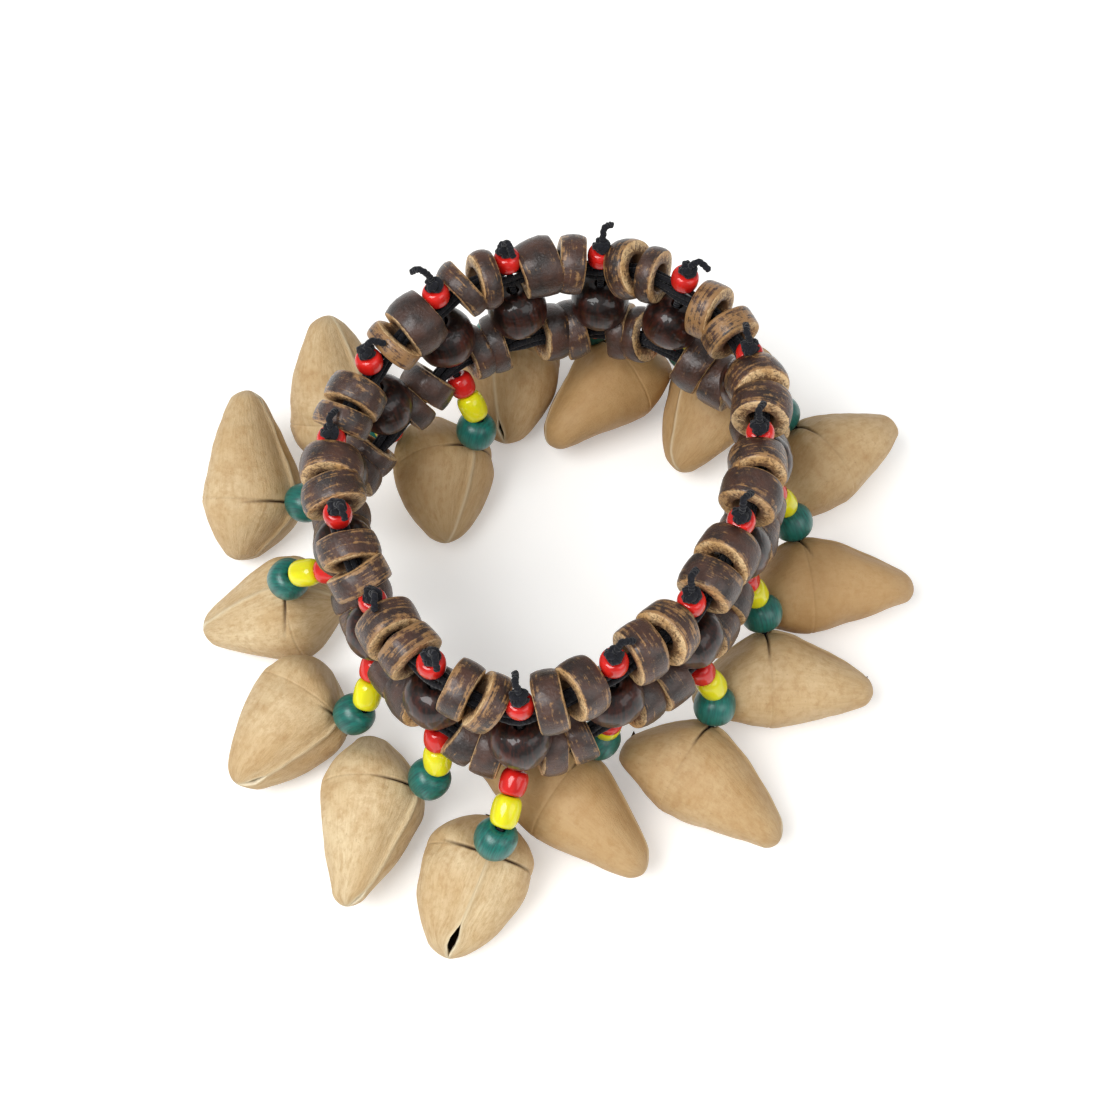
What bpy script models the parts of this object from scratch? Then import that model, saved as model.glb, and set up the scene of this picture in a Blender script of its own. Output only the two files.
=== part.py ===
# Nutshell shaker bracelet: fifteen hollow nutshells hang by beaded cords from two elastic
# loops strung with coconut-shell rings. It stands on its shells, as it lies on a table.
# Units are metres, +Z is up, and the origin is on the floor under the middle.
import math

import bmesh
import bpy
from mathutils import Matrix, Vector

MM = 0.001

# Clearances
GAP = 0.3 * MM              # air that touching pieces keep
JOIN = 0.2 * MM             # depth by which a ring bore sits on its elastic

# Strand cord and the beads on it
CORD_R = 0.55 * MM
KNOT_R = 1.55 * MM
KNOT_LENGTH = 2.8 * MM
TAIL_LENGTH = 4.0 * MM
RED_R = 2.15 * MM
RED_LENGTH = 3.3 * MM
YELLOW_R = 2.3 * MM
YELLOW_LENGTH = 4.1 * MM
GREEN_R = 3.5 * MM
GREEN_LENGTH = 5.6 * MM
STRING_SIDES = 6
BEAD_SHOULDER = 0.2         # share of a bead's length in which it reaches its radius
KNOT_FULL = (0.3, 0.75)     # shares of a knot's length between which it is thickest

# Round wood beads between the two elastics
WOOD_R = 5.0 * MM
WOOD_LENGTH = 9.0 * MM
WOOD_SIDES = 9
WOOD_FACE = 0.55            # radius of the flat ends, as a share of the bead's radius
WOOD_CHEEK = (0.9, 0.52)    # radius and half length of the rounding, as shares

# Elastics: where a strand passes, the doubled thread opens to this radius
ELASTIC_R = 1.6 * MM
LOOP_DISTANCE = 15.0 * MM   # upper to lower elastic along a strand
BOW = 1.0 * MM # how far a loop bows away between two strands
STEPS_PER_SPAN = 2          # straight runs of a loop between two strands, one for each ring

# Coconut rings, two between neighbouring strands on each elastic
RING_R = 4.1 * MM 
RING_BORE_R = 2.0 * MM
RING_SIDES = 8
RING_SPACING = 0.45 * MM    # air between the two rings of a pair
RING_STANDOFF = 4.8 * MM # strand's middle to the near face of a ring, past the wood bead
RING_MAX = 4.6 * MM
RING_MIN = 1.7 * MM 

# Hollow nutshells: outline across the seam, from the cord hole down to the far corner
SHELL_DEPTH = 16.6 * MM
SHELL_HALF_THICKNESS = 9.0 * MM
SHELL_TIP_R = 2.4 * MM
SHELL_TIP_DROP = 11.0 * MM
SHELL_WALL = 1.25 * MM
SHELL_CREASE = 1.1 * MM     # depth of the groove that runs round from the cord hole
CREASE_ON_TOP = 0.4         # how much of that depth the groove has at the hole itself
SHELL_RIDGE = 0.5 * MM      # height of the raised seam
SHELL_STATIONS = (-1.0, -0.88, -0.55, -0.14, 0.0, 0.14, 0.55, 0.88, 1.0)
SHELL_COLUMNS = (12, 50, 94, 138, 180, 222, 266, 310, 348)
SHELL_TAPER = (2.6, 0.9)    # powers of the narrowing to the tips
SHELL_TOP_FALL = 1.35       # power of the fall from the hole to the tips
SHELL_BASE_FALL = 1.3       # power of the rise from the far corner to the tips
SHELL_SQUARENESS = 2.3      # 2 gives round sections, more gives squarer ones
SHELL_RIDGE_END = 4         # power that ends the seam's ridge at the tips
SLIT_START = 0.55            # share of the long lobe at which the seam has split open

# The bead stack over each shell: rounds that settle its lean, and its least rise as a share
STACK_ROUNDS = 8
STACK_LEAST_RISE = 0.3

# One row for each strand, clockwise seen from above, in millimetres and degrees:
# upper elastic x y, lower elastic x y, cord hole of the shell x y,
# heading, rise and roll of the shell's long lobe, long lobe, short lobe
STRANDS = (
    (-6, 34.5, -4, 31.5, -9.5, 40, -97, -5, 20, 15, 12),
    (-17.5, 27.5, -16, 26, -13, 19, -80, -5, -40, 14, 10),
    (-28, 17, -26, 15, -31, 24, 91, 35, 45, 19, 8),
    (-34, 4, -34, 4, -44, 9, 87, 22, 65, 20, 10),
    (-32, -11, -32, -11, -44, -9, -175, -12, 0, 18, 7),
    (-26.5, -24, -27, -23.5, -34, -31, -122, 0, -65, 17, 8),
    (-17, -36, -17, -37, -21, -43, -95, 0, -62, 19, 10),
    (-4, -42, -4, -43, -9, -55, -106, -5, -15, 16, 8),
    (10, -36, 10, -37, 7, -37, -36, 0, -65, 18, 15),
    (22, -26, 23, -27, 27, -32, -33, 0, -62, 19, 11),
    (30, -12, 31, -11, 36.5, -15.5, 2, 0, -60, 18, 12.5),
    (34, 4, 36, 5, 43, 2, 8, 0, -62, 19, 12),
    (33, 20, 34, 21, 43.5, 24.5, 40, 0, -65, 16, 13),
    (22, 31.5, 20, 30.5, 26.5, 37, -124, 0, 45, 17, 12),
    (9, 37.5, 9, 35.5, 9, 42, -143, 0, 58, 18, 9.5),
)


def clearScene():
    for obj in list(bpy.data.objects):
        bpy.data.objects.remove(obj, do_unlink=True)


def makeCollection(name):
    collection = bpy.data.collections.new(name)
    bpy.context.scene.collection.children.link(collection)
    return collection


def makeMaterial(name, color, roughness):
    material = bpy.data.materials.new(name)
    material.use_nodes = True
    shader = material.node_tree.nodes["Principled BSDF"]
    shader.inputs["Base Color"].default_value = (*color, 1.0)
    shader.inputs["Roughness"].default_value = roughness
    shader.inputs["Metallic"].default_value = 0.0
    return material


def addObject(name, mesh, collection, material=None):
    obj = bpy.data.objects.new(name, mesh)
    collection.objects.link(obj)
    if material is not None:
        mesh.materials.append(material)
    return obj


def asCutter(obj):
    obj.hide_render = True
    obj.display_type = "WIRE"
    return obj


def shellSection(share):
    """Half width, top and bottom of the shell at a share of a lobe's length."""
    reach = abs(share)
    narrowing = (1.0 - reach ** SHELL_TAPER[0]) ** SHELL_TAPER[1]
    width = SHELL_TIP_R + (SHELL_HALF_THICKNESS - SHELL_TIP_R) * narrowing
    top = -(SHELL_TIP_DROP - SHELL_TIP_R) * reach ** SHELL_TOP_FALL
    bottom = -SHELL_DEPTH + (SHELL_DEPTH - SHELL_TIP_DROP - SHELL_TIP_R) * reach ** SHELL_BASE_FALL
    if share == 0.0:
        width -= SHELL_CREASE
        top -= CREASE_ON_TOP * SHELL_CREASE
    return width, top, bottom


def shellPoints(longLobe, shortLobe):
    """Rings of points of the outer surface, seam on top, cord hole at the origin."""
    lift = CREASE_ON_TOP * SHELL_CREASE
    rings = []
    for share in SHELL_STATIONS:
        lobe = longLobe if share > 0 else shortLobe
        width, top, bottom = shellSection(share)
        middle = 0.5 * (top + bottom)
        half = 0.5 * (top - bottom)
        ring = []
        for degrees in SHELL_COLUMNS:
            angle = math.radians(degrees)
            side = math.sin(angle)
            height = math.cos(angle)
            powers = abs(side) ** SHELL_SQUARENESS + abs(height) ** SHELL_SQUARENESS
            fullness = powers ** (-1.0 / SHELL_SQUARENESS)
            z = middle + half * height * fullness
            if degrees in (SHELL_COLUMNS[0], SHELL_COLUMNS[-1]):
                z += SHELL_RIDGE * (1.0 - abs(share) ** SHELL_RIDGE_END)
            ring.append(Vector((share * lobe, width * side * fullness, z + lift)))
        rings.append(ring)
    return rings


def makeShellMesh(name, longLobe, shortLobe):
    rings = shellPoints(longLobe, shortLobe)
    mesh = bpy.data.meshes.new(name)
    bm = bmesh.new()
    verts = [[bm.verts.new(point) for point in ring] for ring in rings]
    columns = len(SHELL_COLUMNS)
    for row in range(len(verts) - 1):
        splitHere = SHELL_STATIONS[row] >= SLIT_START
        for column in range(columns):
            following = (column + 1) % columns
            if splitHere and column == columns - 1:
                continue
            bm.faces.new((verts[row][column], verts[row + 1][column],
                          verts[row + 1][following], verts[row][following]))
    bm.faces.new(verts[0])
    bm.faces.new(list(reversed(verts[-1])))
    bm.normal_update()
    bm.to_mesh(mesh)
    bm.free()
    return mesh


def shellMatrix(heading, rise, roll):
    turn = Matrix.Rotation(math.radians(heading), 3, "Z")
    tilt = Matrix.Rotation(math.radians(-rise), 3, "Y")
    spin = Matrix.Rotation(math.radians(roll), 3, "X")
    return turn @ tilt @ spin


def layOutStrand(row):
    """World places of one strand, worked up from the shell that stands on the floor."""
    topX, topY, lowX, lowY, holeX, holeY, heading, rise, roll, longLobe, shortLobe = row
    rotation = shellMatrix(heading, rise, roll)
    rings = shellPoints(longLobe * MM, shortLobe * MM)
    lowest = min((rotation @ point).z for ring in rings for point in ring)
    hole = Vector((holeX * MM, holeY * MM, -lowest))
    outward = rotation @ Vector((0.0, 0.0, 1.0))
    stack = ELASTIC_R + GAP + RED_LENGTH + YELLOW_LENGTH + GREEN_LENGTH
    shoulder = SHELL_RIDGE + CREASE_ON_TOP * SHELL_CREASE
    stand = shoulder
    for _ in range(STACK_ROUNDS):
        foot = hole + outward * stand
        run = Vector((lowX * MM - foot.x, lowY * MM - foot.y, 0.0))
        run.z = math.sqrt(max(stack ** 2 - run.length ** 2, (STACK_LEAST_RISE * stack) ** 2))
        slope = run.normalized()
        lean = math.acos(max(-1.0, min(1.0, slope.dot(outward))))
        sunk = BEAD_SHOULDER * GREEN_LENGTH * math.cos(lean)
        stand = shoulder + GAP + max(0.0, GREEN_R * math.sin(lean) - sunk)
    foot = hole + outward * stand
    lower = foot + slope * stack
    rising = Vector((topX * MM - lower.x, topY * MM - lower.y, 0.0))
    rising.z = math.sqrt(LOOP_DISTANCE ** 2 - rising.length ** 2)
    upper = lower + rising
    knotDepth = SHELL_WALL + 2 * GAP
    return {
        "rotation": rotation,
        "hole": hole,
        "outward": outward,
        "foot": foot,
        "lower": lower,
        "upper": upper,
        "inside": hole - outward * knotDepth,
        "long": longLobe * MM,
        "short": shortLobe * MM,
    }


def centerOnShells(strands):
    """Move every strand so that the middle of the shells' footprint is the origin."""
    spots = [strand["rotation"] @ point + strand["hole"]
             for strand in strands
             for ring in shellPoints(strand["long"], strand["short"])
             for point in ring]
    middle = Vector((0.5 * (min(p.x for p in spots) + max(p.x for p in spots)),
                     0.5 * (min(p.y for p in spots) + max(p.y for p in spots)), 0.0))
    for strand in strands:
        for key in ("hole", "foot", "lower", "upper", "inside"):
            strand[key] = strand[key] - middle


def beadStations(start, length, radius):
    """Distances and radii of one bead along its cord, waist to waist."""
    return [(start, CORD_R), (start + BEAD_SHOULDER * length, radius),
            (start + (1.0 - BEAD_SHOULDER) * length, radius)]


def knotStations(start):
    return [(start, CORD_R), (start + KNOT_FULL[0] * KNOT_LENGTH, KNOT_R),
            (start + KNOT_FULL[1] * KNOT_LENGTH, KNOT_R)]


def sweep(path, stations, sides, name):
    """Closed round body along a polyline, with a radius at each distance from its start."""
    lengths = [0.0]
    for a, b in zip(path, path[1:]):
        lengths.append(lengths[-1] + (b - a).length)
    directions = [(b - a).normalized() for a, b in zip(path, path[1:])]
    across = directions[0].orthogonal().normalized()
    bm = bmesh.new()
    rings = []
    segment = 0
    for distance, radius in sorted(dict(stations).items()):
        while segment < len(directions) - 1 and distance > lengths[segment + 1] + 1e-7:
            turn = directions[segment].rotation_difference(directions[segment + 1])
            across = turn @ across
            segment += 1
        along = directions[segment]
        center = path[segment] + along * (distance - lengths[segment])
        first = across
        second = along.cross(across)
        atCorner = segment < len(directions) - 1 and abs(distance - lengths[segment + 1]) < 1e-6
        ring = []
        for index in range(sides):
            angle = 2 * math.pi * index / sides
            offset = (first * math.cos(angle) + second * math.sin(angle)) * radius
            if atCorner:
                mitre = (along + directions[segment + 1]).normalized()
                offset -= along * (offset.dot(mitre) / along.dot(mitre))
            ring.append(bm.verts.new(center + offset))
        rings.append(ring)
    for lower, upper in zip(rings, rings[1:]):
        for index in range(sides):
            following = (index + 1) % sides
            bm.faces.new((lower[index], lower[following], upper[following], upper[index]))
    bm.faces.new(list(reversed(rings[0])))
    bm.faces.new(rings[-1])
    bm.normal_update()
    mesh = bpy.data.meshes.new(name)
    bm.to_mesh(mesh)
    bm.free()
    return mesh


def stringPath(strand):
    """From the cord's tail above the upper elastic down to the knot inside the shell."""
    up = (strand["upper"] - strand["lower"]).normalized()
    above = ELASTIC_R + GAP + RED_LENGTH + KNOT_LENGTH + TAIL_LENGTH
    inner = strand["inside"] - strand["outward"] * KNOT_LENGTH
    return [strand["upper"] + up * above, strand["lower"], strand["foot"], inner]


def stringStations(strand):
    path = stringPath(strand)
    toLower = (path[1] - path[0]).length
    toFoot = toLower + (path[2] - path[1]).length
    whole = toFoot + (path[3] - path[2]).length
    stations = [(0.0, CORD_R)]
    stations += knotStations(TAIL_LENGTH)
    stations += beadStations(TAIL_LENGTH + KNOT_LENGTH, RED_LENGTH, RED_R)
    stations += [(TAIL_LENGTH + KNOT_LENGTH + RED_LENGTH, CORD_R), (toLower, CORD_R)]
    start = toLower + ELASTIC_R + GAP
    for length, radius in ((RED_LENGTH, RED_R), (YELLOW_LENGTH, YELLOW_R), (GREEN_LENGTH, GREEN_R)):
        stations += beadStations(start, length, radius)
        start += length
    stations += [(toFoot, CORD_R)]
    stations += knotStations(whole - KNOT_LENGTH)
    stations += [(whole, CORD_R)]
    return stations


def makeString(number, strand, collection, material):
    name = f"bead_string_{number:02d}"
    mesh = sweep(stringPath(strand), stringStations(strand), STRING_SIDES, name)
    return addObject(name, mesh, collection, material)


def makeCordCutter(number, strand, collection):
    """The cord's own route with the clearance round it, which bores elastics and shell."""
    path = stringPath(strand)
    start = path[0] - (path[0] - path[1]).normalized() * TAIL_LENGTH
    inside = strand["inside"] - strand["outward"] * GAP
    path = [start, path[1], path[2], inside]
    total = sum((b - a).length for a, b in zip(path, path[1:]))
    reach = CORD_R + GAP
    toLower = (path[1] - path[0]).length
    toFoot = toLower + (path[2] - path[1]).length
    stations = [(0.0, reach), (toLower, reach), (toFoot, reach), (total, reach)]
    name = f"cord_clearance_{number:02d}"
    mesh = sweep(path, stations, STRING_SIDES, name)
    return asCutter(addObject(name, mesh, collection))


def makeWoodMesh(material):
    """Bored bead: a turned profile that runs down its outer side and up its bore."""
    bore = CORD_R + GAP
    half = 0.5 * WOOD_LENGTH
    face = WOOD_FACE * WOOD_R
    cheek = WOOD_CHEEK[0] * WOOD_R
    cheekHeight = WOOD_CHEEK[1] * half
    profile = [(bore, half), (face, half), (cheek, cheekHeight), (WOOD_R, 0.0),
               (cheek, -cheekHeight), (face, -half), (bore, -half)]
    mesh = bpy.data.meshes.new("wood_bead")
    edges = [(i, (i + 1) % len(profile)) for i in range(len(profile))]
    mesh.from_pydata([(x, 0.0, z) for x, z in profile], edges, [])
    mesh.materials.append(material)
    return mesh


def addScrew(obj, steps):
    screw = obj.modifiers.new("Turn", "SCREW")
    screw.axis = "Z"
    screw.angle = 2 * math.pi
    screw.steps = steps
    screw.render_steps = steps
    screw.use_merge_vertices = True
    screw.merge_threshold = 0.00001
    screw.use_normal_calculate = False


def makeWoodBead(number, strand, mesh, collection):
    obj = addObject(f"wood_bead_{number:02d}", mesh, collection)
    along = (strand["upper"] - strand["lower"]).normalized()
    obj.location = 0.5 * (strand["upper"] + strand["lower"])
    obj.rotation_mode = "QUATERNION"
    obj.rotation_quaternion = along.to_track_quat("Z", "Y")
    addScrew(obj, WOOD_SIDES)
    return obj


def loopPoint(points, position, bowSign):
    """Point on a smooth closed curve through the strands, bowed between them."""
    count = len(points)
    index = int(math.floor(position)) % count
    t = position - math.floor(position)
    a, b, c, d = (points[(index + k) % count] for k in (-1, 0, 1, 2))
    smooth = 0.5 * ((2 * b) + (c - a) * t + (2 * a - 5 * b + 4 * c - d) * t ** 2
                    + (3 * b - a - 3 * c + d) * t ** 3)
    smooth.z += bowSign * BOW * math.sin(math.pi * t) ** 2
    return smooth


def loopRoute(points, bowSign):
    count = len(points) * STEPS_PER_SPAN
    return [loopPoint(points, index / STEPS_PER_SPAN, bowSign) for index in range(count)]


def makeElastic(name, points, bowSign, collection, material):
    route = loopRoute(points, bowSign)
    curve = bpy.data.curves.new(name, "CURVE")
    curve.dimensions = "3D"
    curve.bevel_depth = ELASTIC_R
    curve.bevel_resolution = 1
    spline = curve.splines.new("POLY")
    spline.points.add(len(route) - 1)
    for spot, point in zip(spline.points, route):
        spot.co = (*point, 1.0)
    spline.use_cyclic_u = True
    holder = bpy.data.objects.new(name + "_route", curve)
    collection.objects.link(holder)
    depsgraph = bpy.context.evaluated_depsgraph_get()
    mesh = bpy.data.meshes.new_from_object(holder.evaluated_get(depsgraph))
    bpy.data.objects.remove(holder, do_unlink=True)
    bm = bmesh.new()
    bm.from_mesh(mesh)
    bmesh.ops.remove_doubles(bm, verts=bm.verts, dist=0.000001)
    bm.to_mesh(mesh)
    bm.free()
    mesh.materials.clear()
    return addObject(name, mesh, collection, material)


def makeRingMesh(thickness):
    half = 0.5 * thickness
    profile = [(RING_BORE_R, half), (RING_R, half), (RING_R, -half), (RING_BORE_R, -half)]
    mesh = bpy.data.meshes.new("coconut_ring")
    edges = [(i, (i + 1) % len(profile)) for i in range(len(profile))]
    mesh.from_pydata([(x, 0.0, z) for x, z in profile], edges, [])
    return mesh


def placeRings(label, points, bowSign, collection):
    """Two rings in each span, one either side of its crest, hung on the elastic."""
    hang = RING_BORE_R - ELASTIC_R + JOIN
    route = loopRoute(points, bowSign)
    for span in range(len(points)):
        chord = (points[(span + 1) % len(points)] - points[span]).length
        room = 0.5 * (chord - 2 * RING_STANDOFF - RING_SPACING)
        thickness = max(RING_MIN, min(RING_MAX, room))
        crest = STEPS_PER_SPAN * span + 1
        for side in (-1, 1):
            tangent = (route[(crest + side) % len(route)] - route[crest]).normalized()
            center = route[crest] + tangent * 0.5 * (thickness + RING_SPACING)
            down = Vector((0.0, 0.0, -1.0))
            down = (down - tangent * down.dot(tangent)).normalized()
            mark = "a" if side < 0 else "b"
            obj = addObject(f"{label}_{span + 1:02d}{mark}", makeRingMesh(thickness), collection)
            obj.location = center - down * hang * bowSign
            obj.rotation_mode = "QUATERNION"
            obj.rotation_quaternion = tangent.to_track_quat("Z", "Y")
            addScrew(obj, RING_SIDES)
            asCutter(obj)


def addBoolean(obj, operation, collection):
    boolean = obj.modifiers.new(operation.title(), "BOOLEAN")
    boolean.operation = operation
    boolean.solver = "EXACT"
    boolean.operand_type = "COLLECTION"
    boolean.collection = collection


def makeShell(number, strand, collection, cutters, material):
    name = f"nutshell_{number:02d}"
    obj = addObject(name, makeShellMesh(name, strand["long"], strand["short"]), collection, material)
    obj.location = strand["hole"]
    obj.rotation_mode = "QUATERNION"
    obj.rotation_quaternion = strand["rotation"].to_quaternion()
    wall = obj.modifiers.new("Wall", "SOLIDIFY")
    wall.thickness = SHELL_WALL
    wall.offset = -1.0
    wall.use_even_offset = False
    bore = obj.modifiers.new("CordHole", "BOOLEAN")
    bore.operation = "DIFFERENCE"
    bore.solver = "EXACT"
    bore.object = cutters[number - 1]
    return obj


def main():
    clearScene()
    parts = makeCollection("nutshell_shaker_bracelet")
    cordCutters = makeCollection("cord_clearances")
    upperRings = makeCollection("upper_coconut_rings")
    lowerRings = makeCollection("lower_coconut_rings")
    coconut = makeMaterial("coconut_shell", (0.07, 0.03, 0.018), 0.5)
    wood = makeMaterial("lacquered_wood", (0.05, 0.018, 0.012), 0.25)
    glass = makeMaterial("bead_glass", (0.65, 0.02, 0.015), 0.2)
    nut = makeMaterial("nutshell", (0.58, 0.4, 0.2), 0.6)
    strands = [layOutStrand(row) for row in STRANDS]
    centerOnShells(strands)
    cutters = [makeCordCutter(i, s, cordCutters) for i, s in enumerate(strands, 1)]
    woodMesh = makeWoodMesh(wood)
    for number, strand in enumerate(strands, 1):
        makeString(number, strand, parts, glass)
        makeWoodBead(number, strand, woodMesh, parts)
        makeShell(number, strand, parts, cutters, nut)
    for label, sign, rings in (("upper", 1, upperRings), ("lower", -1, lowerRings)):
        points = [strand[label] for strand in strands]
        elastic = makeElastic(label + "_elastic_with_coconut_rings", points, sign, parts, coconut)
        placeRings(label + "_ring", points, sign, rings)
        addBoolean(elastic, "DIFFERENCE", cordCutters)
        addBoolean(elastic, "UNION", rings)


main()
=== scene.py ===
# Nutshell shaker bracelet: the looks of the fifteen nutshells, their beaded cords and the two
# elastic loops of coconut rings. Everything is in metres, in the frame of the solids.
import math
import random

import bpy
import numpy as np
from mathutils import Matrix, Vector


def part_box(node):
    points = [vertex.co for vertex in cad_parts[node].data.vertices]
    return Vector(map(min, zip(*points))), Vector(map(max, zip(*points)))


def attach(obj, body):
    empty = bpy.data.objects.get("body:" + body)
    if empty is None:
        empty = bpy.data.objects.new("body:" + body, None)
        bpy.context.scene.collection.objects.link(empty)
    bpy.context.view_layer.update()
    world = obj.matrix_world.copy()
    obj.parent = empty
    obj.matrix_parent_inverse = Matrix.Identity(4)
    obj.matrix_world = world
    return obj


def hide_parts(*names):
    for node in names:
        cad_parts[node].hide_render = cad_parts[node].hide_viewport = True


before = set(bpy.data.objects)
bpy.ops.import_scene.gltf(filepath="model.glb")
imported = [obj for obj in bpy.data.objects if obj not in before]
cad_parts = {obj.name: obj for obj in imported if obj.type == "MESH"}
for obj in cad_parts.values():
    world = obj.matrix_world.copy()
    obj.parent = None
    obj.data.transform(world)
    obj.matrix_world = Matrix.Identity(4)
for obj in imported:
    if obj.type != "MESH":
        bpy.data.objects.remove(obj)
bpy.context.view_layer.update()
mm = 0.001
print("solids loaded:", len(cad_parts))

# The strands' routes and the shells' poses are those of the solids.
# upper elastic x y, lower elastic x y, cord hole of the shell x y,
# heading, rise and roll of the shell's long lobe, long lobe, short lobe (mm and degrees)
strandRows = (
    (-6, 34.5, -4, 31.5, -9.5, 40, -97, -5, 20, 15, 12),
    (-17.5, 27.5, -16, 26, -13, 19, -80, -5, -40, 14, 10),
    (-28, 17, -26, 15, -31, 24, 91, 35, 45, 19, 8),
    (-34, 4, -34, 4, -44, 9, 87, 22, 65, 20, 10),
    (-32, -11, -32, -11, -44, -9, -175, -12, 0, 18, 7),
    (-26.5, -24, -27, -23.5, -34, -31, -122, 0, -65, 17, 8),
    (-17, -36, -17, -37, -21, -43, -95, 0, -62, 19, 10),
    (-4, -42, -4, -43, -9, -55, -106, -5, -15, 16, 8),
    (10, -36, 10, -37, 7, -37, -36, 0, -65, 18, 15),
    (22, -26, 23, -27, 27, -32, -33, 0, -62, 19, 11),
    (30, -12, 31, -11, 36.5, -15.5, 2, 0, -60, 18, 12.5),
    (34, 4, 36, 5, 43, 2, 8, 0, -62, 19, 12),
    (33, 20, 34, 21, 43.5, 24.5, 40, 0, -65, 16, 13),
    (22, 31.5, 20, 30.5, 26.5, 37, -124, 0, 45, 17, 12),
    (9, 37.5, 9, 35.5, 9, 42, -143, 0, 58, 18, 9.5),
)
layout = {
    "gap": 0.3 * mm,
    "loopDistance": 15.0 * mm,
    "bow": (1.1 * mm, 0.9 * mm),   # how far the two loops stand off between strands, upper first
    "leastRise": 0.3,          # least share of the bead stack that stands upright
    "beadShoulder": 0.2,       # share of the green bead from its end to its widest part
    "cameraTarget": (0.54 * mm, -1.41 * mm, 15.0 * mm),
}
shell = {
    "depth": 16.6 * mm,
    "halfThickness": 9.0 * mm,
    "tipRadius": 2.4 * mm,
    "fineTip": 1.9 * mm,       # the real tips are slimmer than the solids' flat ends
    "tipDrop": 11.0 * mm,
    "wall": 1.25 * mm,
    "crease": 1.1 * mm,
    "creaseWidth": 1.9 * mm,
    "ridge": 0.5 * mm,
    "ridgeWidth": 0.6 * mm,
    "seamWidth": 0.32 * mm,    # of the pale line along the ridge
    "roundness": 2.3,
    "taper": (2.6, 0.9),       # powers of the narrowing to the tips
    "topFall": 1.35,
    "baseFall": 1.3,
    "solidShares": (-1.0, -0.88, -0.55, -0.14, 0.0, 0.14, 0.55, 0.88, 1.0),
    "solidColumns": (12, 50, 94, 138, 180, 222, 266, 310, 348),
    "stations": 76,
    "columns": 84,
    "tipCap": 0.1,             # share of a lobe over which its end is rounded
    "crackDepth": 0.5 * mm,    # of the crack groove that starts at the cord hole, painted dark as shade
    "crackWidth": 0.22 * mm,
    "sutureDepth": 0.1 * mm,   # of the fine line that carries the crack on round the shell
    "sutureWidth": 0.2 * mm,
    "gapeSpread": 0.9,         # angle from the seam over which a split pushes its lips apart
    "girth": 52.0 * mm,        # length round the middle of a shell, for its fibres
    "weave": 0.7 * mm,         # most that a lobe bends sideways
    "lump": 0.16 * mm,
    "lumpSize": 9.0 * mm,
    "smallLump": 0.05 * mm,
    "smallLumpSize": 3.4 * mm,
    "holeRadius": 0.85 * mm,
}
elastic = {
    "radius": 1.6 * mm, "threads": 5, "threadRadius": 0.5 * mm, "turns": 3, "sides": 8, "steps": 12,
    "threadSpread": 0.84 * mm,     # from the middle of the bundle to the middle of a thread
    "crossingSpread": 0.3 * mm,    # how much further apart the threads are where a cord passes
}
bead = {
    "redRadius": 2.25 * mm, "redLength": 3.3 * mm, "yellowRadius": 2.35 * mm, "yellowLength": 4.1 * mm,
    "greenRadius": 3.5 * mm, "greenLength": 5.6 * mm, "woodRadius": 4.95 * mm, "woodLength": 9.0 * mm,
    "hole": 0.75 * mm, "segments": 44, "smallSegments": 36,
    "stretch": 1.24,           # how much longer the red and yellow beads may be to fill a long strand
}


def hexColor(code):
    # sRGB hex to the linear colour that the shaders take.
    parts = [int(code[i:i + 2], 16) / 255 for i in (1, 3, 5)]
    return (*[p / 12.92 if p <= 0.04045 else ((p + 0.055) / 1.055) ** 2.4 for p in parts], 1.0)


def addNode(tree, kind, inputs=None, **settings):
    # A node with its settings, its values and its links; an input that is a socket is linked.
    node = tree.nodes.new("ShaderNode" + kind)
    for key, value in settings.items():
        setattr(node, key, value)
    for key, value in (inputs or {}).items():
        if isinstance(value, bpy.types.NodeSocket):
            tree.links.new(value, node.inputs[key])
        else:
            node.inputs[key].default_value = value
    return node


def newMaterial(name, **values):
    material = bpy.data.materials.new(name)
    material.use_nodes = True
    shader = material.node_tree.nodes["Principled BSDF"]
    for key, value in values.items():
        shader.inputs[key].default_value = value
    return material, material.node_tree, shader


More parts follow.
